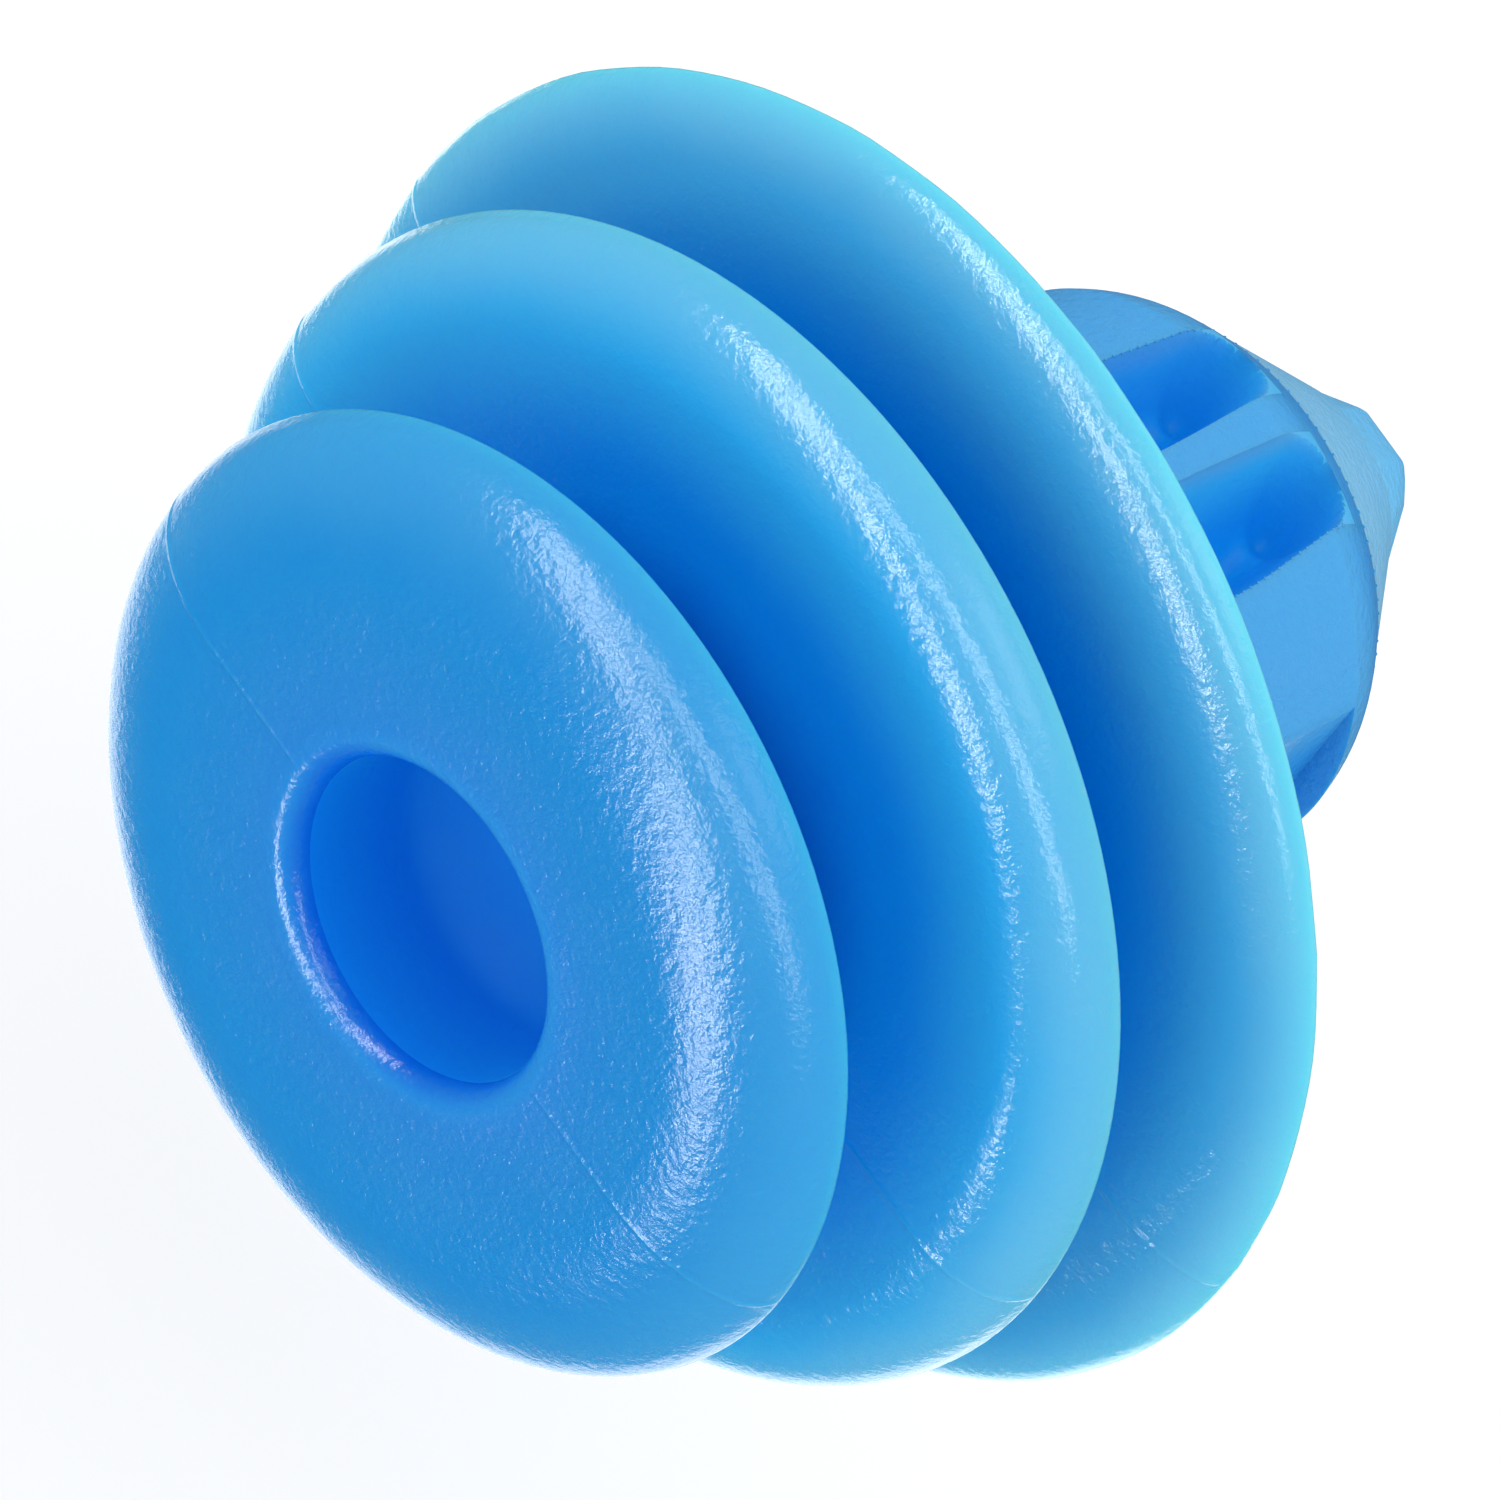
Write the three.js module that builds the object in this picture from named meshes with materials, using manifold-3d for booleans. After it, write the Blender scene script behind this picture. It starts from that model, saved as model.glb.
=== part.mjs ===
// Push-in trim-panel clip: one blue moulding with a cored head, two trumpet flanges and a snap barrel.
//
// Millimetres. +Y runs along the clip's own axis, from the head to the pilot tip. The origin is the centre of the
// plane where the seal skirt's rim meets the door metal. The mould opens along Z, so its parting plane is Z = 0,
// and the snap barbs stand out along X. Each mesh is one working section of the moulding.
import * as THREE from 'three';
import { mergeVertices } from 'three/addons/utils/BufferGeometryUtils.js';
import Module from 'manifold-3d';

const wasm = await Module();
wasm.setup();

// ---- Driving dimensions -------------------------------------------------------------------------------------

const ROUND_SEGMENTS = 56;

const NECK = { radius: 4.0, fillet: 0.7 };
const HEAD = { radius: 8.5, frontY: -9.63, backY: -7.88, edgeWidth: 2.8, edgeLip: 0.12, collarDepth: 0.1 };
const CORE = { radius: 2.9, lipRadius: 0.45, domeStartY: -7.08, endY: -5.88 };

const MIDDLE = { radius: 10.38, throatY: -6.1, faceY: -4.9, backY: -3.46, edgeWidth: 1.7, throatEdge: 7.2 };
const SKIRT = { radius: 11.66, throatY: -2.5, faceY: -1.1, backY: 0, edgeWidth: 2.5, throatEdge: 6.4 };
const SKIRT_BORE_CLEARANCE = 0.05;
const SKIRT_TRAVEL = 0.8;

// The barrel narrows to a waist beside the skirt. Flats cut its sides as far as the barbs, where it is round again.
const WAIST = { radius: 4.42, endY: 1.4 };
const BARREL = { radius: 4.87, fullStartY: 2.4 };
const BARB = { radius: 4.98, shoulderY: 7.46, flatX: 4.41 };
const RIDGE = { radius: 4.02, y: 8.93, bulge: 0.13 };
const POCKET = { startY: 1.4, endY: 8.4, innerX: 0.3, outerX: 2.2 };
const WEB_HALF_THICKNESS = 2.3;
const WALL_GAP = 0.45;

const CONE_END = { radius: 2.0, y: 11.3 };
const TIP = { endY: 12.86, footHalfX: 1.96, footHalfZ: 1.82, endHalfX: 0.87, endHalfZ: 0.66, facetHalfX: 0.56 };
const TIP_CORNER_FRACTION = 0.72;
const TIP_SIDE_FRACTION = 0.3;

// Further out than any part of the clip, for cuts that go right through.
const FAR = 20;

const CLEAR_BLUE = { color: 0x2f93dc, roughness: 0.42, metalness: 0 };
const DEEP_BLUE = { color: 0x1669d2, roughness: 0.38, metalness: 0 };
const TEAL_BLUE = { color: 0x35a0d2, roughness: 0.4, metalness: 0 };

// ---- Outline and solid helpers ------------------------------------------------------------------------------

/** Points of an elliptical arc in the (radius, y) plane; angles in degrees, 0 pointing outwards. */
function arc(centreR, centreY, radiusR, radiusY, fromDegrees, toDegrees, steps) {
  const points = [];
  for (let i = 0; i <= steps; i += 1) {
    const angle = THREE.MathUtils.degToRad(fromDegrees + ((toDegrees - fromDegrees) * i) / steps);
    points.push([centreR + radiusR * Math.cos(angle), centreY + radiusY * Math.sin(angle)]);
  }
  return points;
}

/** Turns a closed (radius, y) outline, listed anticlockwise, about the Y axis. */
function turned(outline, startsOnAxis = false) {
  const closed = startsOnAxis ? outline : [...outline, outline[0]];
  const points = closed.map(([radius, y]) => new THREE.Vector2(Math.max(radius, 0), y));
  return new THREE.LatheGeometry(points, ROUND_SEGMENTS);
}

/** A box from its lowest corner to its highest corner. */
function block(low, high) {
  const size = high.map((value, i) => value - low[i]);
  const middle = high.map((value, i) => (value + low[i]) / 2);
  return new THREE.BoxGeometry(...size).translate(...middle);
}

/** A closed solid for cutting and joining. */
function solid(geometry) {
  const bare = geometry.clone();
  bare.deleteAttribute('normal');
  bare.deleteAttribute('uv');
  const merged = mergeVertices(bare, 1e-5);
  return new wasm.Manifold(
    new wasm.Mesh({
      numProp: 3,
      vertProperties: new Float32Array(merged.attributes.position.array),
      triVerts: new Uint32Array(merged.index.array),
    }),
  );
}

/** The surface of a cut or joined solid, as geometry. */
function surface(body) {
  const mesh = body.getMesh();
  const geometry = new THREE.BufferGeometry();
  geometry.setAttribute('position', new THREE.BufferAttribute(new Float32Array(mesh.vertProperties), 3));
  geometry.setIndex(new THREE.BufferAttribute(new Uint32Array(mesh.triVerts), 1));
  return geometry;
}

const clip = new THREE.Group();
clip.name = 'trim_clip';

/** Adds one named section of the moulding. */
function addSection(name, geometry, look) {
  const mesh = new THREE.Mesh(geometry, new THREE.MeshStandardMaterial(look));
  mesh.name = name;
  clip.add(mesh);
}

// ---- Head disc and its neck ---------------------------------------------------------------------------------

/** The round head: a flat front with a large soft edge, the core's mouth, and a shallow seat for the neck. */
function headDisc() {
  const lipCentreR = CORE.radius + CORE.lipRadius;
  const edgeStartR = HEAD.radius - HEAD.edgeWidth;
  const edgeBaseY = HEAD.backY - HEAD.edgeLip;
  const seatRadius = NECK.radius + NECK.fillet;
  const seatY = HEAD.backY - HEAD.collarDepth;
  return turned([
    ...arc(lipCentreR, HEAD.frontY + CORE.lipRadius, CORE.lipRadius, CORE.lipRadius, 180, 270, 3),
    ...arc(edgeStartR, edgeBaseY, HEAD.edgeWidth, edgeBaseY - HEAD.frontY, -90, 0, 7),
    [HEAD.radius - HEAD.edgeLip, HEAD.backY],
    [seatRadius, HEAD.backY],
    [seatRadius, seatY],
    [CORE.radius, seatY],
  ]);
}

/** The neck that the trim panel's keyhole slides round, with the domed end of the core in it. */
function headNeck() {
  const seatRadius = NECK.radius + NECK.fillet;
  const seatY = HEAD.backY - HEAD.collarDepth;
  return turned(
    [
      ...arc(0, CORE.domeStartY, CORE.radius, CORE.endY - CORE.domeStartY, 90, 0, 5),
      [CORE.radius, seatY],
      [seatRadius, seatY],
      ...arc(seatRadius, HEAD.backY + NECK.fillet, NECK.fillet, NECK.fillet, -90, -180, 3),
      [NECK.radius, MIDDLE.throatY],
      [NECK.radius, MIDDLE.backY],
      [0, MIDDLE.backY],
    ],
    true,
  );
}

// ---- Trumpet flanges ----------------------------------------------------------------------------------------

/** The throat of a flange: a flare from the neck out to the radius where its face turns level. */
function flangeFlare(flange) {
  const reach = flange.throatEdge - NECK.radius;
  const rise = flange.faceY - flange.throatY;
  return turned([
    [NECK.radius, flange.throatY],
    ...arc(flange.throatEdge, flange.throatY, reach, rise, 180, 90, 6),
    [flange.throatEdge, flange.backY],
    [NECK.radius, flange.backY],
  ]);
}

/** The outer ring of a flange, with a level face and a rounded rim that is sharpest at its back edge. */
function flangeRing(flange) {
  const edgeStartR = flange.radius - flange.edgeWidth;
  return turned([
    [flange.throatEdge, flange.faceY],
    ...arc(edgeStartR, flange.backY, flange.edgeWidth, flange.backY - flange.faceY, -90, 0, 6),
    [flange.throatEdge, flange.backY],
  ]);
}

/** The neck between the second and third discs, which carries the seal skirt's throat. */
function rearNeck() {
  const boreRadius = NECK.radius - SKIRT_BORE_CLEARANCE;
  return turned(
    [
      [0, MIDDLE.backY],
      [NECK.radius, MIDDLE.backY],
      [boreRadius, SKIRT.throatY - SKIRT_TRAVEL - SKIRT_BORE_CLEARANCE],
      [boreRadius, SKIRT.backY],
      [0, SKIRT.backY],
    ],
    true,
  );
}

// ---- Snap barrel --------------------------------------------------------------------------------------------

/** The barrel as a full round, from the seat plane to the ridge where its cone begins. */
function barrelRound() {
  const shoulderMiddleR = (BARB.radius + RIDGE.radius) / 2 + RIDGE.bulge;
  const shoulderMiddleY = (BARB.shoulderY + RIDGE.y) / 2;
  return solid(
    turned(
      [
        [0, SKIRT.backY],
        [WAIST.radius, SKIRT.backY],
        [WAIST.radius, WAIST.endY],
        [BARREL.radius, BARREL.fullStartY],
        [BARB.radius, BARB.shoulderY],
        [shoulderMiddleR, shoulderMiddleY],
        [RIDGE.radius, RIDGE.y],
        [0, RIDGE.y],
      ],
      true,
    ),
  );
}

const barrel = barrelRound();

/** The part of the barrel inside a box, which is given by its lowest and highest corners. */
function barrelPart(low, high) {
  return barrel.intersect(solid(block(low, high)));
}

/** One side wall of the barrel with its flat; side is -1 or 1 along X. */
function snapWall(side) {
  const inner = side * POCKET.outerX;
  const outer = side * BARB.flatX;
  const low = [Math.min(inner, outer), POCKET.startY, -FAR];
  const high = [Math.max(inner, outer), BARB.shoulderY, FAR];
  return surface(barrelPart(low, high));
}

/** The locking shoulder of one wall: the full round beyond the flat, up to the ridge. */
function lockBarb(side) {
  const inner = side * POCKET.outerX;
  const outer = side * FAR;
  const low = [Math.min(inner, outer), BARB.shoulderY, -FAR];
  const high = [Math.max(inner, outer), POCKET.endY, FAR];
  return surface(barrelPart(low, high));
}

/** The plate in the parting plane that joins the ribs; it stops short of the walls, which flex towards it. */
function barrelWeb() {
  const reach = POCKET.outerX - WALL_GAP;
  return block([-reach, POCKET.startY, -WEB_HALF_THICKNESS], [reach, POCKET.endY, WEB_HALF_THICKNESS]);
}

/** A rib that splits the pocket on one side in two; side is -1 or 1 along Z. */
function centreRib(side) {
  const near = side * WEB_HALF_THICKNESS;
  const far = side * FAR;
  const low = [-POCKET.innerX, POCKET.startY, Math.min(near, far)];
  const high = [POCKET.innerX, POCKET.endY, Math.max(near, far)];
  return surface(barrelPart(low, high));
}

/** The solid round root of the barrel, beside the skirt. */
function barrelRoot() {
  return surface(barrelPart([-FAR, SKIRT.backY, -FAR], [FAR, POCKET.startY, FAR]));
}

/** The solid shoulder between the pockets and the ridge. */
function noseShoulder() {
  return surface(barrelPart([-FAR, POCKET.endY, -FAR], [FAR, RIDGE.y, FAR]));
}

/** The lead-in cone between the ridge and the pilot tip. */
function leadInCone() {
  const outline = [[0, RIDGE.y], [RIDGE.radius, RIDGE.y], [CONE_END.radius, CONE_END.y], [0, CONE_END.y]];
  return turned(outline, true);
}

/** The corners of one rounded ring of the tip, all the way round, from half its size along X and along Z. */
function tipRing(halfX, halfZ) {
  const quarter = [
    [TIP.facetHalfX, halfZ],
    [TIP_CORNER_FRACTION * halfX, TIP_CORNER_FRACTION * halfZ],
    [halfX, TIP_SIDE_FRACTION * halfZ],
  ];
  const right = [...quarter, ...quarter.map(([x, z]) => [x, -z]).reverse()];
  return [...right, ...right.map(([x, z]) => [-x, -z])];
}

/** The pilot tip: a many-sided stub that tapers from a rounded foot to a small flat end. */
function pilotTip() {
  const foot = tipRing(TIP.footHalfX, TIP.footHalfZ);
  const end = tipRing(TIP.endHalfX, TIP.endHalfZ);
  const sides = foot.length;
  const positions = [];
  for (const [x, z] of foot) positions.push(x, CONE_END.y, z);
  for (const [x, z] of end) positions.push(x, TIP.endY, z);
  const triangles = [];
  for (let i = 0; i < sides; i += 1) {
    const next = (i + 1) % sides;
    triangles.push(i, next, sides + i);
    triangles.push(next, sides + next, sides + i);
  }
  for (let i = 1; i < sides - 1; i += 1) {
    triangles.push(0, i + 1, i);
    triangles.push(sides, sides + i, sides + i + 1);
  }
  const geometry = new THREE.BufferGeometry();
  geometry.setAttribute('position', new THREE.BufferAttribute(new Float32Array(positions), 3));
  geometry.setIndex(triangles);
  return geometry;
}

// ---- The clip -----------------------------------------------------------------------------------------------

addSection('head_disc', headDisc(), CLEAR_BLUE);
addSection('head_neck', headNeck(), DEEP_BLUE);
addSection('middle_flare', flangeFlare(MIDDLE), DEEP_BLUE);
addSection('middle_flange', flangeRing(MIDDLE), CLEAR_BLUE);
addSection('rear_neck', rearNeck(), DEEP_BLUE);
addSection('skirt_flare', flangeFlare(SKIRT), DEEP_BLUE);
addSection('seal_skirt', flangeRing(SKIRT), TEAL_BLUE);
addSection('barrel_root', barrelRoot(), CLEAR_BLUE);
addSection('barrel_web', barrelWeb(), DEEP_BLUE);
addSection('upper_centre_rib', centreRib(1), CLEAR_BLUE);
addSection('lower_centre_rib', centreRib(-1), CLEAR_BLUE);
for (const [side, word] of [[-1, 'left'], [1, 'right']]) {
  addSection(`${word}_snap_wall`, snapWall(side), CLEAR_BLUE);
  addSection(`${word}_lock_barb`, lockBarb(side), CLEAR_BLUE);
}
addSection('nose_shoulder', noseShoulder(), CLEAR_BLUE);
addSection('lead_in_cone', leadInCone(), CLEAR_BLUE);
addSection('pilot_tip', pilotTip(), CLEAR_BLUE);

export default clip;
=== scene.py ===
"""Looks of a push-in trim clip: one translucent blue moulding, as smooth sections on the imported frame."""
import math

import bmesh
import bpy
from mathutils import Matrix, Vector, noise


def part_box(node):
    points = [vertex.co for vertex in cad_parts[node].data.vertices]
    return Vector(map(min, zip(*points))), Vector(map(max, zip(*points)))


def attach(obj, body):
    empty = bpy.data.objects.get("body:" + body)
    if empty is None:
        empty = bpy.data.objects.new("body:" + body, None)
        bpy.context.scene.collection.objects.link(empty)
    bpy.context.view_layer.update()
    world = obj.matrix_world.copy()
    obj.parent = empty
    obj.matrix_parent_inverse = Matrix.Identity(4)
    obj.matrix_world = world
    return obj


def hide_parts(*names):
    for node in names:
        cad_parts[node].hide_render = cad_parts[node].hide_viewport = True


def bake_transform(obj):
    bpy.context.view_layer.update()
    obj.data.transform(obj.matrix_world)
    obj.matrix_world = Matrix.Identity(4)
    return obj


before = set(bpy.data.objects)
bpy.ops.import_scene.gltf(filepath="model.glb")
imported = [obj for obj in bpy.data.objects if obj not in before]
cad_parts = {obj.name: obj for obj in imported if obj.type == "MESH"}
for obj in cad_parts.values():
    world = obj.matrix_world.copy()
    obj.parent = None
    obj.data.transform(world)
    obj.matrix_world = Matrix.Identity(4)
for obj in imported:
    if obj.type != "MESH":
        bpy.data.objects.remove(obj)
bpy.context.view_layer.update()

MM = 0.001


# ---- Sizes, taken from the frame --------------------------------------------------------------------------


def turned_size(node):
    """Outer radius, lowest y and highest y of a node that is round about the Y axis."""
    low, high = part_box(node)
    return high.x, low.y, high.y


HEAD_RADIUS, HEAD_FRONT, HEAD_BACK = turned_size("head_disc")
MIDDLE_RADIUS, MIDDLE_FACE, MIDDLE_BACK = turned_size("middle_flange")
MIDDLE_THROAT_EDGE, MIDDLE_THROAT, _ = turned_size("middle_flare")
NECK_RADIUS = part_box("rear_neck")[1].x
SKIRT_RADIUS, SKIRT_FACE, SKIRT_BACK = turned_size("seal_skirt")
SKIRT_THROAT_EDGE, SKIRT_THROAT, _ = turned_size("skirt_flare")
ROOT_RADIUS, ROOT_START, ROOT_END = turned_size("barrel_root")
BARB_RADIUS, BARB_Y, POCKET_END = turned_size("right_lock_barb")
FLAT_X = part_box("right_snap_wall")[1].x
WALL_INNER_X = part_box("right_snap_wall")[0].x
RIB_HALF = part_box("upper_centre_rib")[1].x
WEB_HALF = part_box("barrel_web")[1].z
RIDGE_RADIUS, RIDGE_Y, CONE_END_Y = turned_size("lead_in_cone")
TIP_LOW, TIP_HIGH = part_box("pilot_tip")

HEAD_EDGE_WIDTH = 2.8 * MM
HEAD_EDGE_LIP = 0.12 * MM
CORE_RADIUS = 2.9 * MM
CORE_LIP = 0.45 * MM
CORE_DOME_START = HEAD_BACK + 0.8 * MM
CORE_DOME_END = HEAD_BACK + 2.0 * MM
NECK_FILLET = 0.7 * MM
MIDDLE_EDGE_WIDTH = 1.7 * MM
SKIRT_EDGE_WIDTH = 2.5 * MM
SKIRT_LEAN = 0.2 * MM
SKIRT_LEAN_TOWARDS = math.radians(62)
SKIRT_UNEVEN = 0.05 * MM
RIM_LIP = 0.1 * MM
BORE_STEP = 0.1 * MM

BARREL_TAPER = 0.11 * MM
ROOT_FLARE_END = ROOT_END + 1.0 * MM
SHOULDER_BULGE = 0.13 * MM
POCKET_RUN = 0.9 * MM
POCKET_CORNER = 0.85 * MM
POCKET_BUMP = 0.2 * MM
POCKET_BUMP_X, POCKET_BUMP_Y = 1.35 * MM, 7.3 * MM
POCKET_BUMP_WIDTH, POCKET_BUMP_LENGTH = 0.35 * MM, 0.3 * MM
POCKET_TAPER_START = 5.0 * MM
TUCK_WIDTH = 0.46 * MM
TUCK_DEPTH = 0.04 * MM
CONE_END_RADIUS = 2.0 * MM
# The tip's end as a share of its foot, before the end is rounded over.
TIP_END_SCALE_X = 0.46
TIP_END_SCALE_Z = 0.38
TIP_ROUNDING_START = 0.78
TIP_ROUNDING = 0.08
TIP_FACET_HALF = 0.56 * MM

FLASH_RADIUS = 0.035 * MM
FLASH_STEP = 0.17 * MM
PARTING_LINE_HEIGHT = 0.018 * MM
PARTING_LINE_WIDTH = 0.045 * MM


# ---- Outline helpers --------------------------------------------------------------------------------------


def arc(centre, radii, start, end, steps):
    """Points of an elliptical arc in the (radius, y) plane; degrees, with 0 pointing outwards."""
    points = []
    for i in range(steps + 1):
        angle = math.radians(start + (end - start) * i / steps)
        points.append((centre[0] + radii[0] * math.cos(angle), centre[1] + radii[1] * math.sin(angle)))
    return points


def spread(first, last, steps):
    """Evenly spaced points between two (radius, y) points, without the first and the last."""
    shares = [i / steps for i in range(1, steps)]
    return [(first[0] + (last[0] - first[0]) * s, first[1] + (last[1] - first[1]) * s) for s in shares]


def ease(share):
    """0 below 0, 1 above 1, and a smooth turn between them."""
    share = min(max(share, 0.0), 1.0)
    return share * share * (3 - 2 * share)


def make_piece(name, mesh, smooth_angle=38):
    """Turns a bmesh into a named object with its faces out, smooth but for its real corners."""
    bmesh.ops.remove_doubles(mesh, verts=mesh.verts, dist=1e-7)
    bmesh.ops.recalc_face_normals(mesh, faces=mesh.faces)
    data = bpy.data.meshes.new(name)
    mesh.to_mesh(data)
    mesh.free()
    data.shade_smooth()
    data.set_sharp_from_angle(angle=math.radians(smooth_angle))
    piece = bpy.data.objects.new(name, data)
    bpy.context.scene.collection.objects.link(piece)
    return piece


# ---- Turned pieces ----------------------------------------------------------------------------------------


def turning_angles():
    """Angles round the axis: even steps, with fine ones across the parting plane for its line."""
    even = [i * 2.5 for i in range(144)]
    offsets = (-1.2, -0.8, -0.5, -0.3, -0.15, 0.15, 0.3, 0.5, 0.8, 1.2)
    fine = [side + offset for side in (0, 180) for offset in offsets]
    return [math.radians(a) for a in sorted(set(round(a % 360, 3) for a in even + fine))]


def turned_piece(name, outline, line_on=None, warp=None):
    """Turns a closed (radius, y) outline.

    Where line_on(radius, y) is true, the face sinks by a parting line's height, and a fine line stands up
    from it to the outline.
    """
    angles = turning_angles()
    mesh = bmesh.new()
    count = len(outline)
    columns = []
    for angle in angles:
        column = []
        for i, (radius, y) in enumerate(outline):
            spot_radius, spot_y = radius, y
            if line_on and line_on(radius, y):
                before, after = outline[i - 1], outline[(i + 1) % count]
                along = Vector((after[0] - before[0], after[1] - before[1])).normalized()
                off_plane = radius * math.sin(angle) / PARTING_LINE_WIDTH
                sink = PARTING_LINE_HEIGHT * (1 - math.exp(-off_plane * off_plane))
                spot_radius -= along.y * sink
                spot_y += along.x * sink
            if warp:
                spot_radius, spot_y = warp(spot_radius, spot_y, angle)
            point = (spot_radius * math.cos(angle), spot_y, spot_radius * math.sin(angle))
            column.append(mesh.verts.new(point))
        columns.append(column)
    for i, column in enumerate(columns):
        following = columns[(i + 1) % len(columns)]
        for j in range(count):
            k = (j + 1) % count
            if outline[j][0] < 1e-7 and outline[k][0] < 1e-7:
                continue
            corners = [column[j], column[k], following[k], following[j]]
            if outline[j][0] < 1e-7:
                corners = [column[j], column[k], following[k]]
            elif outline[k][0] < 1e-7:
                corners = [column[j], column[k], following[j]]
            mesh.faces.new(corners)
    return make_piece(name, mesh)


def head_outline():
    """The head with its core, from the core's end round the rim to the neck."""
    lip_centre = (CORE_RADIUS + CORE_LIP, HEAD_FRONT + CORE_LIP)
    edge_centre = (HEAD_RADIUS - HEAD_EDGE_WIDTH, HEAD_BACK - HEAD_EDGE_LIP)
    edge_depth = HEAD_BACK - HEAD_EDGE_LIP - HEAD_FRONT
    back_edge_centre = (HEAD_RADIUS - HEAD_EDGE_LIP, HEAD_BACK - HEAD_EDGE_LIP)
    fillet_centre = (NECK_RADIUS + NECK_FILLET, HEAD_BACK + NECK_FILLET)
    face_start = (lip_centre[0], HEAD_FRONT)
    face_end = (edge_centre[0], HEAD_FRONT)
    return [
        *arc((0, CORE_DOME_START), (CORE_RADIUS, CORE_DOME_END - CORE_DOME_START), 90, 0, 16),
        *spread((CORE_RADIUS, CORE_DOME_START), (CORE_RADIUS, lip_centre[1]), 8),
        *arc(lip_centre, (CORE_LIP, CORE_LIP), 180, 270, 10),
        *spread(face_start, face_end, 8),
        *arc(edge_centre, (HEAD_EDGE_WIDTH, edge_depth), -90, 0, 30),
        *arc(back_edge_centre, (HEAD_EDGE_LIP, HEAD_EDGE_LIP), 15, 90, 4),
        *arc(fillet_centre, (NECK_FILLET, NECK_FILLET), -90, -180, 8),
        (NECK_RADIUS, MIDDLE_BACK),
        (0, MIDDLE_BACK),
    ]


def flange_outline(radius, throat, face, back, throat_edge, edge_width, inner_radius):
    """A trumpet flange: throat, level face, rounded rim with a thin lip at its back edge, and a flat back."""
    edge_start = radius - edge_width
    reach = throat_edge - NECK_RADIUS
    lip_y = back - RIM_LIP
    return [
        *arc((throat_edge, throat), (reach, face - throat), 180, 90, 20),
        *spread((throat_edge, face), (edge_start, face), 6),
        *arc((edge_start, lip_y), (edge_width, lip_y - face), -90, 0, 30),
        *arc((radius - RIM_LIP, lip_y), (RIM_LIP, RIM_LIP), 15, 90, 4),
        (inner_radius, back),
        (inner_radius, throat),
    ]


def front_face(limit):
    """A test for outline points on a disc's open front: outside the core and before its back edge."""
    return lambda radius, y: radius > CORE_RADIUS + CORE_LIP and y < limit


def skirt_warp(radius, y, angle):
    """The thin skirt isn't quite true: it leans towards the head on one side, and its rim is uneven."""
    share = ease((radius - SKIRT_THROAT_EDGE) / (SKIRT_RADIUS - SKIRT_THROAT_EDGE))
    lean = SKIRT_LEAN * max(0.0, math.cos(angle - SKIRT_LEAN_TOWARDS)) ** 2
    around = Vector((math.cos(angle) * 6, math.sin(angle) * 6, 0.5))
    uneven = SKIRT_UNEVEN * abs(noise.noise(around))
    return radius - uneven * share, y - lean * share


def make_head():
    has_line = front_face(HEAD_BACK - HEAD_EDGE_LIP * 2)
    piece = turned_piece("head_with_core", head_outline(), line_on=has_line)
    for face in piece.data.polygons:
        middle = face.center
        deep = middle.y > HEAD_FRONT + CORE_LIP
        face.material_index = 1 if deep and math.hypot(middle.x, middle.z) < CORE_RADIUS * 1.02 else 0
    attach(piece, "moulding")
    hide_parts("head_disc", "head_neck")
    return piece


def make_middle_flange():
    outline = flange_outline(
        MIDDLE_RADIUS, MIDDLE_THROAT, MIDDLE_FACE, MIDDLE_BACK, MIDDLE_THROAT_EDGE, MIDDLE_EDGE_WIDTH,
        NECK_RADIUS - BORE_STEP,
    )
    piece = turned_piece("middle_trumpet", outline, line_on=front_face(MIDDLE_BACK - RIM_LIP * 2))
    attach(piece, "moulding")
    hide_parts("middle_flare", "middle_flange")
    return piece


def make_rear_neck():
    outline = [(0, MIDDLE_BACK), (NECK_RADIUS, MIDDLE_BACK), (NECK_RADIUS, SKIRT_BACK), (0, SKIRT_BACK)]
    piece = turned_piece("rear_neck_round", outline)
    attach(piece, "moulding")
    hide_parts("rear_neck")
    return piece


def make_skirt():
    """The seal skirt, from its throat on the neck out to its rim."""
    outline = flange_outline(
        SKIRT_RADIUS, SKIRT_THROAT, SKIRT_FACE, SKIRT_BACK, SKIRT_THROAT_EDGE, SKIRT_EDGE_WIDTH,
        NECK_RADIUS - BORE_STEP,
    )
    has_line = front_face(SKIRT_BACK - RIM_LIP * 2)
    piece = turned_piece("seal_skirt_trumpet", outline, line_on=has_line, warp=skirt_warp)
    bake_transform(piece)
    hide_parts("skirt_flare", "seal_skirt")
    return piece


# ---- Barrel pieces ----------------------------------------------------------------------------------------


def barrel_radius(y):
    """Radius of the barrel's full round: root, long slight taper, then a convex shoulder to the ridge."""
    if y < BARB_Y:
        full = BARB_RADIUS - BARREL_TAPER * (BARB_Y - y) / (BARB_Y - ROOT_FLARE_END)
        return ROOT_RADIUS + (full - ROOT_RADIUS) * ease((y - ROOT_END) / (ROOT_FLARE_END - ROOT_END))
    share = (y - BARB_Y) / (RIDGE_Y - BARB_Y)
    return BARB_RADIUS + (RIDGE_RADIUS - BARB_RADIUS) * share + SHOULDER_BULGE * math.sin(math.pi * share)


def wall_edge_x(y):
    """Where a pocket meets the outer wall, which draws in slightly towards the pocket's end."""
    taper = ease((y - POCKET_TAPER_START) / (POCKET_END - POCKET_TAPER_START))
    return WALL_INNER_X + 0.15 * MM - 0.3 * MM * taper


def rib_edge_x(y):
    """Where a pocket meets the centre rib, which widens slightly towards the pocket's end."""
    taper = ease((y - POCKET_TAPER_START) / (POCKET_END - POCKET_TAPER_START))
    return RIB_HALF + 0.1 * MM * taper


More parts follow.
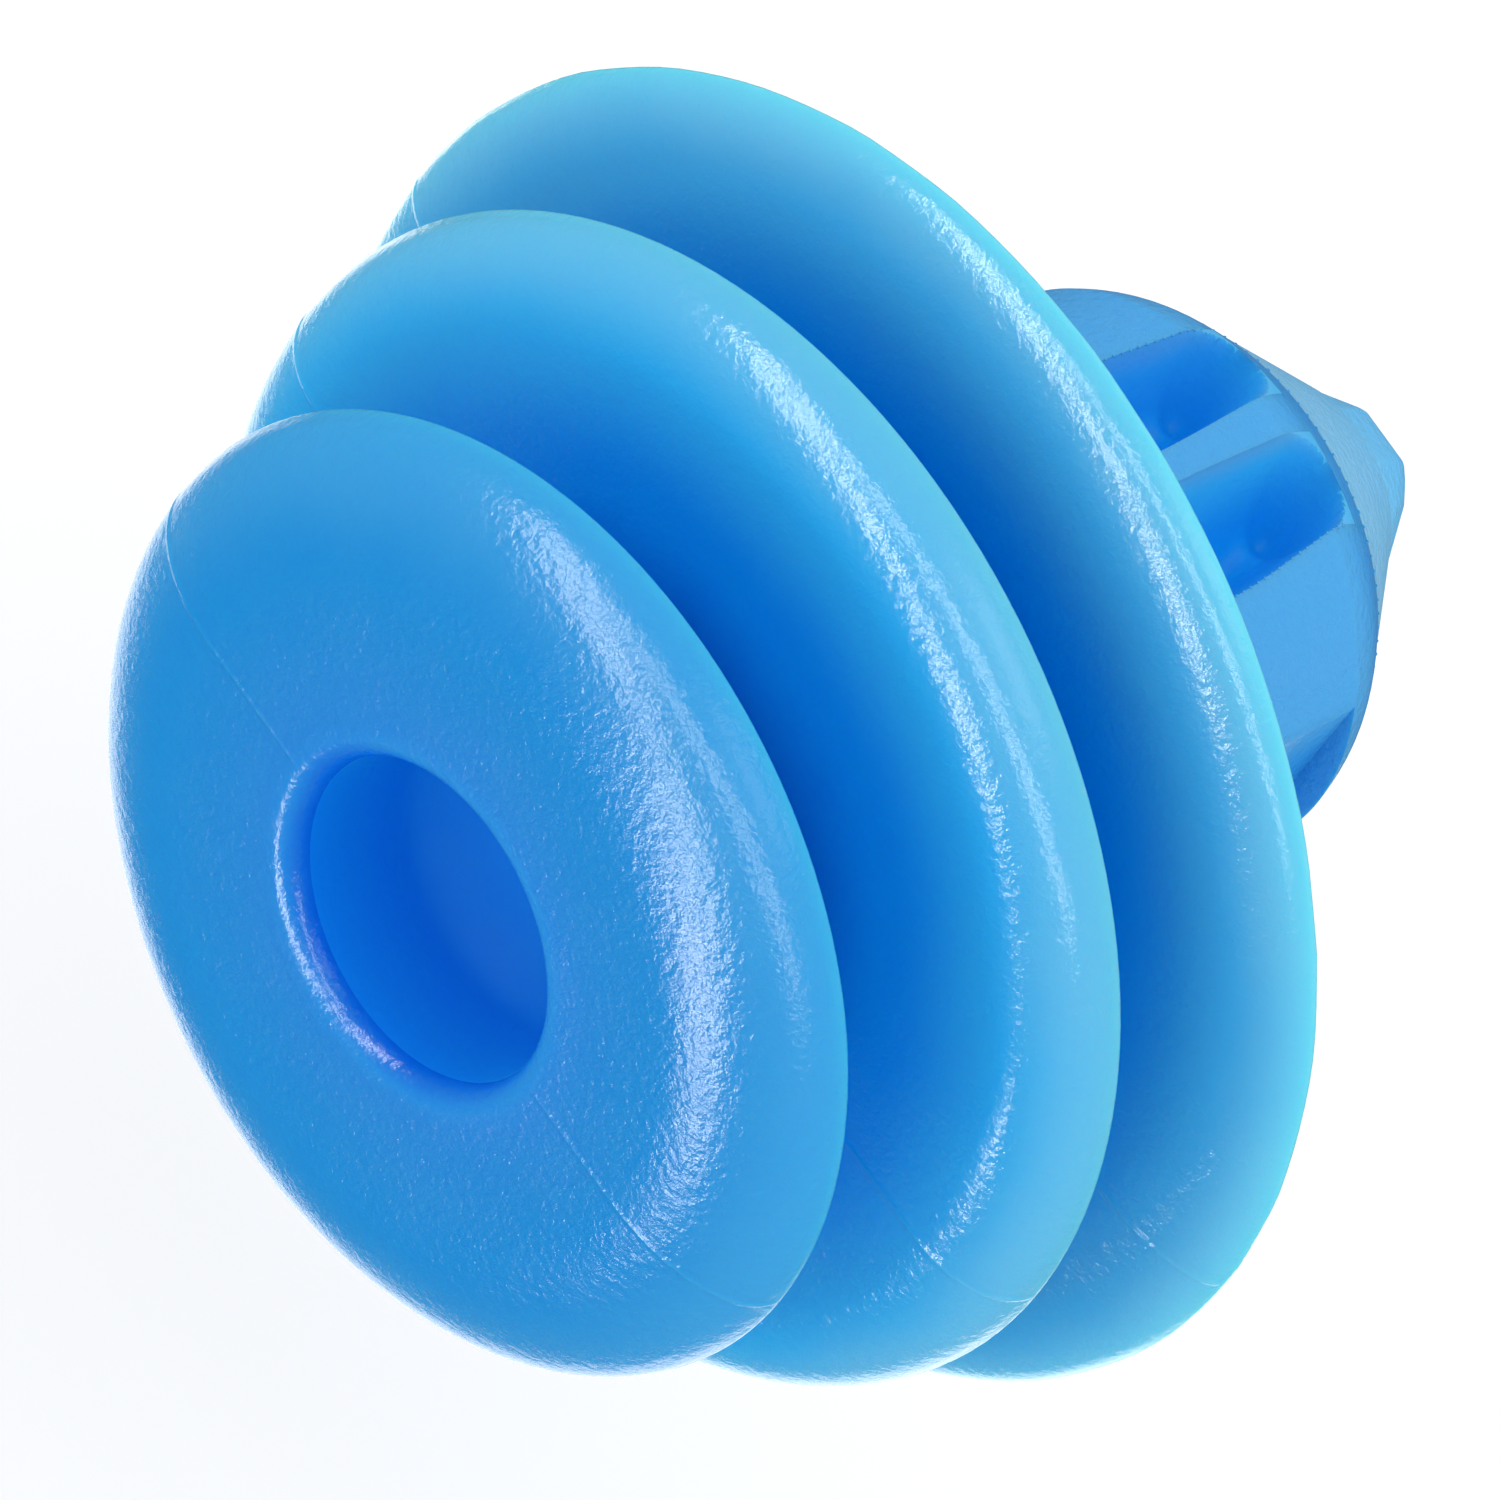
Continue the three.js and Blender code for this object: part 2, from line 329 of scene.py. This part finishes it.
def pocket_depth_share(x, y):
    """0 at a pocket's outline, which has round far corners, and 1 on its floor."""
    side = min(x - rib_edge_x(y), wall_edge_x(y) - x)
    end = min(POCKET_END - y, (y - ROOT_END) * 2)
    if side < POCKET_CORNER and end < POCKET_CORNER:
        inside = POCKET_CORNER - math.hypot(POCKET_CORNER - side, POCKET_CORNER - end)
    else:
        inside = min(side, end)
    share = min(max(inside / POCKET_RUN, 0.0), 1.0)
    return 1 - (1 - share) ** 2.2


def pocket_height(x, y):
    """Height of the pocket's skin over the parting plane: the barrel's round less the pocket's depth."""
    round_height = math.sqrt(max(barrel_radius(y) ** 2 - x * x, 0.0))
    full_depth = BARB_RADIUS * 0.955 - WEB_HALF
    share = pocket_depth_share(x, y)
    bump_x = (x - POCKET_BUMP_X) / POCKET_BUMP_WIDTH
    bump_y = (y - POCKET_BUMP_Y) / POCKET_BUMP_LENGTH
    bump = POCKET_BUMP * math.exp(-bump_x * bump_x - bump_y * bump_y)
    return round_height - full_depth * share + bump * share


def rows(start, end, step):
    """Evenly spaced y values from start to end, about a step apart."""
    count = max(2, round((end - start) / step))
    return [start + (end - start) * i / count for i in range(count + 1)]


def lofted_piece(name, rings):
    """A closed body through equal rings of points, with a flat cap at each end."""
    mesh = bmesh.new()
    loops = [[mesh.verts.new(point) for point in ring] for ring in rings]
    for near, far in zip(loops, loops[1:]):
        for i in range(len(near)):
            j = (i + 1) % len(near)
            mesh.faces.new([near[i], near[j], far[j], far[i]])
    for loop in (loops[0], loops[-1]):
        centre = mesh.verts.new(sum((v.co for v in loop), Vector()) / len(loop))
        for i in range(len(loop)):
            mesh.faces.new([centre, loop[i], loop[(i + 1) % len(loop)]])
    return make_piece(name, mesh)


def mirrored_ring(upper, side, y):
    """A ring from its upper half, given as (x, z) from the inside out, mirrored below the parting plane."""
    lower = [(x, -z) for x, z in reversed(upper)]
    return [(side * x, y, z) for x, z in [*upper, *lower]]


def wall_ring(y, side, has_flat):
    """Cross-section of a side wall: inner face, the round, then the flat or the rest of the round."""
    radius = barrel_radius(y)
    inner_x = wall_edge_x(min(y, POCKET_END))
    inner_z = math.sqrt(radius * radius - inner_x * inner_x)
    corner_x = min(FLAT_X, radius * 0.995)
    first = math.asin(inner_x / radius)
    corner = math.asin(corner_x / radius)
    upper = [(inner_x, inner_z * i / 6) for i in range(6)]
    for i in range(15):
        angle = first + (corner - first) * i / 14
        upper.append((radius * math.sin(angle), radius * math.cos(angle)))
    for i in range(1, 15):
        angle = corner + (math.pi / 2 - corner) * i / 14
        x = corner_x if has_flat else radius * math.sin(angle)
        upper.append((x, radius * math.cos(angle) + (0 if i < 14 else 1e-7)))
    upper[0] = (inner_x, 1e-7)
    return mirrored_ring(upper, side, y)


def make_wall(side, name, start, end, node):
    """Part of one side wall."""
    rings = []
    for y in rows(start, end, 0.12 * MM):
        if abs(y - BARB_Y) < 0.06 * MM:
            continue
        rings.append(wall_ring(y, side, y < BARB_Y))
    if start < BARB_Y < end:
        below = [ring for ring in rings if ring[0][1] < BARB_Y]
        above = [ring for ring in rings if ring[0][1] > BARB_Y]
        rings = [*below, wall_ring(BARB_Y, side, True), wall_ring(BARB_Y, side, False), *above]
    piece = lofted_piece(name, rings)
    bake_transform(piece)
    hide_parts(node)
    return piece


def make_pocket(side, word):
    """The skin of one side's pockets, between the rib and the wall, with a tuck a little way in under the
    wall.
    """
    rings = []
    for y in rows(ROOT_END, POCKET_END, 0.07 * MM):
        inner, outer = rib_edge_x(y), wall_edge_x(y)
        upper = []
        for i in range(41):
            share = 0.5 - 0.5 * math.cos(math.pi * i / 40)
            x = inner + (outer - inner) * share
            upper.append((x, pocket_height(x, y)))
        for share in (0.05, 0.35, 0.7, 1.0):
            x = outer + TUCK_WIDTH * share
            upper.append((x, math.sqrt(barrel_radius(y) ** 2 - x * x) - TUCK_DEPTH))
        rings.append(mirrored_ring(upper, side, y))
    piece = lofted_piece(word + "_pocket_skin", rings)
    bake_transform(piece)
    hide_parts("barrel_web")
    return piece


def centre_ring(y, half_width, steps=12):
    """Cross-section of a strip along the middle of the barrel, with the barrel's round above and below."""
    radius = barrel_radius(y)
    upper = []
    for i in range(steps + 1):
        x = -half_width + 2 * half_width * i / steps
        upper.append((x, math.sqrt(radius * radius - x * x)))
    return mirrored_ring(upper, 1, y)


def make_rib():
    piece = lofted_piece(
        "centre_ribs", [centre_ring(y, rib_edge_x(y)) for y in rows(ROOT_END, POCKET_END, 0.15 * MM)]
    )
    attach(piece, "moulding")
    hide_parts("upper_centre_rib", "lower_centre_rib")
    return piece


def make_nose_shoulder():
    half_width = wall_edge_x(POCKET_END)
    piece = lofted_piece(
        "nose_shoulder_middle",
        [centre_ring(y, half_width, 40) for y in rows(POCKET_END, RIDGE_Y, 0.05 * MM)],
    )
    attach(piece, "moulding")
    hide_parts("nose_shoulder")
    return piece


def make_root():
    outline = [(0, ROOT_START), (ROOT_RADIUS, ROOT_START), (ROOT_RADIUS, ROOT_END), (0, ROOT_END)]
    piece = turned_piece("barrel_root_round", outline)
    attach(piece, "moulding")
    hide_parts("barrel_root")
    return piece


def make_cone():
    """The lead-in cone, from the ridge to the tip's foot."""
    outline = [
        (0, RIDGE_Y),
        (RIDGE_RADIUS, RIDGE_Y),
        *spread((RIDGE_RADIUS, RIDGE_Y), (CONE_END_RADIUS, CONE_END_Y), 24),
        (CONE_END_RADIUS, CONE_END_Y),
        (0, CONE_END_Y),
    ]
    piece = turned_piece("nose_cone", outline)
    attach(piece, "moulding")
    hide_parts("lead_in_cone")
    return piece


def tip_ring(y, half_x, half_z):
    """Cross-section of the tip: flat above and below, with rounded corners and sides."""
    facet = min(TIP_FACET_HALF, half_x * 0.6)
    corner_x, corner_z = 0.8 * half_x, 0.68 * half_z
    right = [(facet, half_z), (corner_x, corner_z), (half_x, 0.3 * half_z), (half_x, 0.1 * half_z)]
    left = [(-x, z) for x, z in reversed(right)]
    return mirrored_ring([*left, *right], 1, y)


def make_tip():
    """The pilot tip, with its edges rounded as the moulded one's are."""
    rings = []
    foot_y, end_y = TIP_LOW.y, TIP_HIGH.y
    for share in (0, 0.2, 0.4, 0.6, TIP_ROUNDING_START, 0.9, 0.97, 1.0):
        past_start = max(0.0, (share - TIP_ROUNDING_START) / (1 - TIP_ROUNDING_START))
        rounding = TIP_ROUNDING * past_start ** 2
        half_x = TIP_HIGH.x * (1 + (TIP_END_SCALE_X - 1) * share - rounding)
        half_z = TIP_HIGH.z * (1 + (TIP_END_SCALE_Z - 1) * share - rounding)
        rings.append(tip_ring(foot_y + (end_y - foot_y) * share, half_x, half_z))
    piece = lofted_piece("pilot_nub", rings)
    bevel = piece.modifiers.new("soft_edges", "BEVEL")
    bevel.width = 0.07 * MM
    bevel.segments = 3
    bevel.limit_method = "ANGLE"
    bevel.angle_limit = math.radians(22)
    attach(piece, "moulding")
    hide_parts("pilot_tip")
    return piece


def bead_row(name, spots):
    """Small soft beads of moulding flash at the given points."""
    mesh = bmesh.new()
    for i, spot in enumerate(spots):
        size = FLASH_RADIUS * (0.7 + 0.5 * abs(noise.noise(Vector((i * 1.7, spot.y * 900, 0.3)))))
        made = bmesh.ops.create_icosphere(mesh, subdivisions=2, radius=size, matrix=Matrix.Translation(spot))
        for vert in made["verts"]:
            vert.co += (vert.co - spot) * 0.5 * noise.noise(vert.co * 40000)
    return make_piece(name, mesh, smooth_angle=80)


def make_wall_flash(side, word):
    """Beads of flash where the pocket meets one wall's outer face, above and below."""
    spots = []
    for half in (1, -1):
        for y in rows(BARB_Y - 3.0 * MM, POCKET_END - 0.5 * MM, FLASH_STEP):
            x = wall_edge_x(y)
            spots.append(Vector((side * x, y, half * math.sqrt(barrel_radius(y) ** 2 - x * x))))
    piece = bead_row(word + "_wall_flash", spots)
    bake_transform(piece)
    return piece


def make_ridge_flash():
    """Beads of flash round the ridge, except near the parting plane."""
    spots = []
    for i in range(96):
        angle = math.tau * i / 96
        if abs(math.sin(angle)) < 0.3:
            continue
        radius = RIDGE_RADIUS - FLASH_RADIUS * 0.2
        spots.append(Vector((radius * math.cos(angle), RIDGE_Y, radius * math.sin(angle))))
    piece = bead_row("ridge_flash", spots)
    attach(piece, "moulding")
    return piece


def make_barrel():
    split = (ROOT_END + BARB_Y) / 2
    pieces = [make_root(), make_rib(), make_nose_shoulder(), make_cone(), make_tip(), make_ridge_flash()]
    for side, word in ((-1, "left"), (1, "right")):
        pieces.append(make_pocket(side, word))
        pieces.append(make_wall_flash(side, word))
        pieces.append(make_wall(
            side, word + "_wall_near_root", ROOT_END, split, word + "_snap_wall"
        ))
        pieces.append(make_wall(
            side, word + "_wall_with_barb", split, RIDGE_Y, word + "_lock_barb"
        ))
    return pieces


# ---- Plastic ----------------------------------------------------------------------------------------------


BARREL_GLOW = 0.2
CLOUD_DRIFT = 0.9 * MM


def linear(red, green, blue):
    """A display colour, 0 to 255, as the linear colour that shaders use."""
    def channel(value):
        value /= 255
        return value / 12.92 if value <= 0.04045 else ((value + 0.055) / 1.055) ** 2.4

    return (channel(red), channel(green), channel(blue), 1.0)


def plastic(name, tint_and_painted_light_stops, along, grain=1.0, roughness=0.26, shine=0.6, glow=0.9):
    """Moulded plastic: its own blue, darkened by painted shade where deep and paled by a painted glow of
    light where thin.

    The colour stops are (metres, colour) and hold that painted shade and glow, along is 'radius' or 'y', and
    glow is how much light passes under the surface.
    """
    material = bpy.data.materials.new(name)
    material.use_nodes = True
    tree = material.node_tree
    add, link = tree.nodes.new, tree.links.new
    shader = tree.nodes["Principled BSDF"]

    place = add("ShaderNodeTexCoord").outputs["Object"]
    parts = add("ShaderNodeSeparateXYZ")
    link(place, parts.inputs[0])
    if along == "radius":
        flat = add("ShaderNodeCombineXYZ")
        link(parts.outputs["X"], flat.inputs["X"])
        link(parts.outputs["Z"], flat.inputs["Y"])
        length = add("ShaderNodeVectorMath")
        length.operation = "LENGTH"
        link(flat.outputs[0], length.inputs[0])
        measure = length.outputs["Value"]
    else:
        measure = parts.outputs["Y"]

    cloud = add("ShaderNodeTexNoise")
    cloud.inputs["Scale"].default_value = 260
    cloud.inputs["Detail"].default_value = 2
    link(place, cloud.inputs["Vector"])
    drift = add("ShaderNodeMath")
    drift.operation = "MULTIPLY_ADD"
    drift.inputs[1].default_value = CLOUD_DRIFT
    link(cloud.outputs["Fac"], drift.inputs[0])
    link(measure, drift.inputs[2])

    low, high = tint_and_painted_light_stops[0][0], tint_and_painted_light_stops[-1][0]
    share = add("ShaderNodeMapRange")
    share.inputs["From Min"].default_value = low + CLOUD_DRIFT / 2
    share.inputs["From Max"].default_value = high + CLOUD_DRIFT / 2
    link(drift.outputs[0], share.inputs["Value"])
    # The ramp's colours carry painted shade in deep places and a painted glow at thin rims, over the
    # plastic's own blue.
    ramp = add("ShaderNodeValToRGB")
    ramp.color_ramp.interpolation = "EASE"
    while len(ramp.color_ramp.elements) < len(tint_and_painted_light_stops):
        ramp.color_ramp.elements.new(0.5)
    for element, (value, colour) in zip(ramp.color_ramp.elements, tint_and_painted_light_stops):
        element.position = (value - low) / (high - low)
        element.color = colour
    link(share.outputs["Result"], ramp.inputs["Fac"])
    link(ramp.outputs["Color"], shader.inputs["Base Color"])

    peel = add("ShaderNodeTexNoise")
    peel.inputs["Scale"].default_value = 5200
    peel.inputs["Detail"].default_value = 3
    peel.inputs["Roughness"].default_value = 0.62
    link(place, peel.inputs["Vector"])
    worn = add("ShaderNodeTexNoise")
    worn.inputs["Scale"].default_value = 900
    link(place, worn.inputs["Vector"])
    gloss = add("ShaderNodeMapRange")
    gloss.inputs["To Min"].default_value = roughness - 0.07
    gloss.inputs["To Max"].default_value = roughness + 0.07
    link(worn.outputs["Fac"], gloss.inputs["Value"])
    link(gloss.outputs["Result"], shader.inputs["Roughness"])
    bump = add("ShaderNodeBump")
    bump.inputs["Strength"].default_value = 1.0
    bump.inputs["Distance"].default_value = 0.045 * MM * grain
    link(peel.outputs["Fac"], bump.inputs["Height"])
    link(bump.outputs["Normal"], shader.inputs["Normal"])

    shader.inputs["Subsurface Weight"].default_value = glow
    shader.inputs["Subsurface Radius"].default_value = (0.2, 0.7, 1.0)
    shader.inputs["Subsurface Scale"].default_value = 2.4 * MM * glow
    shader.inputs["IOR"].default_value = 1.5
    shader.inputs["Specular IOR Level"].default_value = shine
    return material


def paint_all(head, middle, neck, skirt, barrel):
    """Gives every piece its plastic: its own blue, with painted shade deep in the middle and the throats, and
    a painted glow and sheen paler towards the thin rims.
    """
    # Head: the deeper blue at the core's lip is painted shade in the recess, and the paler rim is a painted
    # glow and sheen.
    head.data.materials.append(plastic("head_blue", [
        (2.7 * MM, linear(0, 106, 212)),
        (3.3 * MM, linear(34, 140, 214)),
        (6.2 * MM, linear(18, 144, 212)),
        (8.5 * MM, linear(60, 160, 212)),
    ], "radius", grain=0.6, roughness=0.2))
    head.data.materials.append(plastic("core_blue", [
        (0.0 * MM, linear(0, 150, 240)),
        (2.9 * MM, linear(0, 140, 232)),
    ], "radius", grain=0.3, roughness=0.7, shine=0.1, glow=0.5))
    # Middle flange: the deep blue at the throat by the neck is painted shade, and the pale rim is a painted
    # glow and sheen.
    middle.data.materials.append(plastic("middle_blue", [
        (4.0 * MM, linear(0, 74, 196)),
        (6.4 * MM, linear(8, 160, 246)),
        (8.8 * MM, linear(48, 178, 234)),
        (10.4 * MM, linear(100, 184, 222)),
    ], "radius", grain=0.5, roughness=0.13))
    # Skirt: the pale cyan towards the rim is a painted glow of light through the thin edge, with painted
    # sheen in it.
    skirt.data.materials.append(plastic("skirt_blue", [
        (4.0 * MM, linear(0, 130, 212)),
        (7.6 * MM, linear(0, 170, 230)),
        (10.2 * MM, linear(66, 172, 214)),
        (11.7 * MM, linear(106, 184, 212)),
    ], "radius", grain=0.5, roughness=0.13))
    # The neck sits in the narrow gap between the middle flange and the skirt; its deep blue is painted shade.
    neck.data.materials.append(plastic("neck_painted_shade_blue", [
        (3.0 * MM, linear(0, 70, 190)),
        (4.0 * MM, linear(0, 80, 196)),
    ], "radius", roughness=0.2))
    # Barrel: deep blue inwards and paler at the outer round, painted shade and painted glow as on the discs.
    barrel_blue = plastic("barrel_blue", [
        (2.6 * MM, linear(0, 128, 228)),
        (4.2 * MM, linear(38, 152, 230)),
        (5.0 * MM, linear(74, 168, 230)),
    ], "radius", glow=BARREL_GLOW)
    # The pockets get a paler copy of the barrel's plastic: painted light in the shaded pockets.
    pocket_painted_light_blue = plastic("pocket_painted_light_blue", [
        (2.4 * MM, linear(2, 174, 250)),
        (4.2 * MM, linear(48, 182, 246)),
        (5.0 * MM, linear(84, 176, 236)),
    ], "radius", grain=0.4, roughness=0.5, shine=0.3, glow=BARREL_GLOW)
    # The cone and the tip get a paler copy of the barrel's plastic: painted light on the strip that catches
    # the light.
    nose_painted_light_blue = plastic("nose_painted_light_blue", [
        (8.9 * MM, linear(130, 204, 250)),
        (12.8 * MM, linear(104, 196, 250)),
    ], "y", glow=BARREL_GLOW)
    for piece in barrel:
        tapered = piece.name in ("nose_cone", "pilot_nub")
        plain = pocket_painted_light_blue if piece.name.endswith("_pocket_skin") else barrel_blue
        piece.data.materials.append(nose_painted_light_blue if tapered else plain)


# ---- Room -------------------------------------------------------------------------------------------------

ROOM_LIGHT = 1.1
ROOM_GLOSS = 0.1
FLOOR_DROP = 14 * MM

AXIS_TO_VIEW = math.radians(52.5)
AXIS_CLIMB = math.radians(26.16)
PULL_ROLL = math.radians(15.8)
VIEW_WIDTH = 24.75 * MM
LENS = 1000
SENSOR = 36
AIM_RIGHT = 4.31 * MM
AIM_UP = 2.32 * MM


def view_axes():
    """The camera's right, up and back directions, from how the clip's axis lies in the view."""
    side = Vector((math.sin(PULL_ROLL), 0, math.cos(PULL_ROLL)))
    across = Vector((-math.cos(PULL_ROLL), 0, math.sin(PULL_ROLL)))
    axis = Vector((0, 1, 0))
    back = math.sin(AXIS_TO_VIEW) * side - math.cos(AXIS_TO_VIEW) * axis
    along = math.sin(AXIS_TO_VIEW) * axis + math.cos(AXIS_TO_VIEW) * side
    right = math.cos(AXIS_CLIMB) * along - math.sin(AXIS_CLIMB) * across
    up = math.sin(AXIS_CLIMB) * along + math.cos(AXIS_CLIMB) * across
    return right, up, back


def make_camera():
    right, up, back = view_axes()
    data = bpy.data.cameras.new("camera")
    data.lens = LENS
    data.sensor_width = SENSOR
    data.clip_start = 0.01
    data.clip_end = 20
    camera = bpy.data.objects.new("camera", data)
    aim = Vector((0, HEAD_BACK, 0)) + right * AIM_RIGHT + up * AIM_UP
    distance = VIEW_WIDTH * LENS / SENSOR
    turn = Matrix((right, up, back)).transposed()
    camera.matrix_world = Matrix.Translation(aim + back * distance) @ turn.to_4x4()
    bpy.context.scene.collection.objects.link(camera)
    bpy.context.scene.camera = camera


def make_floor():
    """A broad pale floor a little below the clip; the gloss and the strip lights pass it by."""
    mesh = bmesh.new()
    half = 1.5
    height = -SKIRT_RADIUS - FLOOR_DROP
    outline = ((-half, -half), (half, -half), (half, half), (-half, half))
    mesh.faces.new([mesh.verts.new((x, y, height)) for x, y in outline])
    floor = make_piece("floor", mesh)
    material = bpy.data.materials.new("pale_floor")
    material.use_nodes = True
    tree = material.node_tree
    shader = tree.nodes["Principled BSDF"]
    mottle = tree.nodes.new("ShaderNodeTexNoise")
    mottle.inputs["Scale"].default_value = 40
    ramp = tree.nodes.new("ShaderNodeValToRGB")
    ramp.color_ramp.elements[0].color = (0.93, 0.93, 0.93, 1)
    ramp.color_ramp.elements[1].color = (0.97, 0.97, 0.97, 1)
    tree.links.new(mottle.outputs["Fac"], ramp.inputs["Fac"])
    tree.links.new(ramp.outputs["Color"], shader.inputs["Base Color"])
    shader.inputs["Roughness"].default_value = 0.9
    shader.inputs["Specular IOR Level"].default_value = 0.1
    floor.data.materials.append(material)
    floor.visible_glossy = False
    floor.visible_shadow = False


def direction(azimuth, elevation):
    """Unit vector from the clip; azimuth 0 is the head's side, and 90 is +X; degrees."""
    turn, lift = math.radians(azimuth), math.radians(elevation)
    return Vector((math.sin(turn) * math.cos(lift), -math.cos(turn) * math.cos(lift), math.sin(lift)))


def make_strip_light(name, start, end, distance, width, radiance, only_gloss):
    """A soft box that faces the clip and spans two directions, given as (azimuth, elevation)."""
    first, last = direction(*start) * distance, direction(*end) * distance
    middle = (first + last) / 2
    long_way = (last - first).normalized()
    facing = middle.normalized()
    data = bpy.data.lights.new(name, "AREA")
    data.shape = "RECTANGLE"
    data.size = (last - first).length
    data.size_y = width
    data.energy = radiance * math.pi * data.size * data.size_y
    light = bpy.data.objects.new(name, data)
    turn = Matrix((long_way, facing.cross(long_way), facing)).transposed()
    light.matrix_world = Matrix.Translation(middle) @ turn.to_4x4()
    light.visible_diffuse = not only_gloss
    bpy.context.scene.collection.objects.link(light)


def make_world():
    """A white room for soft light, which the gloss sees as much darker."""
    world = bpy.data.worlds.new("studio")
    world.use_nodes = True
    tree = world.node_tree
    sky = tree.nodes["Background"]
    sky.inputs["Color"].default_value = (1.0, 1.0, 1.0, 1)
    path = tree.nodes.new("ShaderNodeLightPath")
    strength = tree.nodes.new("ShaderNodeMapRange")
    strength.inputs["To Min"].default_value = ROOM_LIGHT
    strength.inputs["To Max"].default_value = ROOM_GLOSS
    tree.links.new(path.outputs["Is Glossy Ray"], strength.inputs["Value"])
    tree.links.new(strength.outputs["Result"], sky.inputs["Strength"])
    bpy.context.scene.world = world


def make_room():
    make_world()
    bpy.context.scene.view_settings.view_transform = "Standard"
    make_strip_light("side_strip", (-66, 38), (-3, 7), 0.2, 0.022, 12, True)
    make_strip_light("low_strip", (2, 6), (4, -42), 0.2, 0.022, 14, True)
    make_strip_light("high_strip", (-40, 36), (58, 18), 0.2, 0.02, 6, True)
    make_strip_light("rim_card", (-110, -48), (140, -55), 0.2, 0.12, 1.6, True)
    make_strip_light("top_box", (40, 60), (100, 70), 0.3, 0.15, 1.2, False)


# ---- The scene --------------------------------------------------------------------------------------------

paint_all(make_head(), make_middle_flange(), make_rear_neck(), make_skirt(), make_barrel())
make_camera()
make_floor()
make_room()
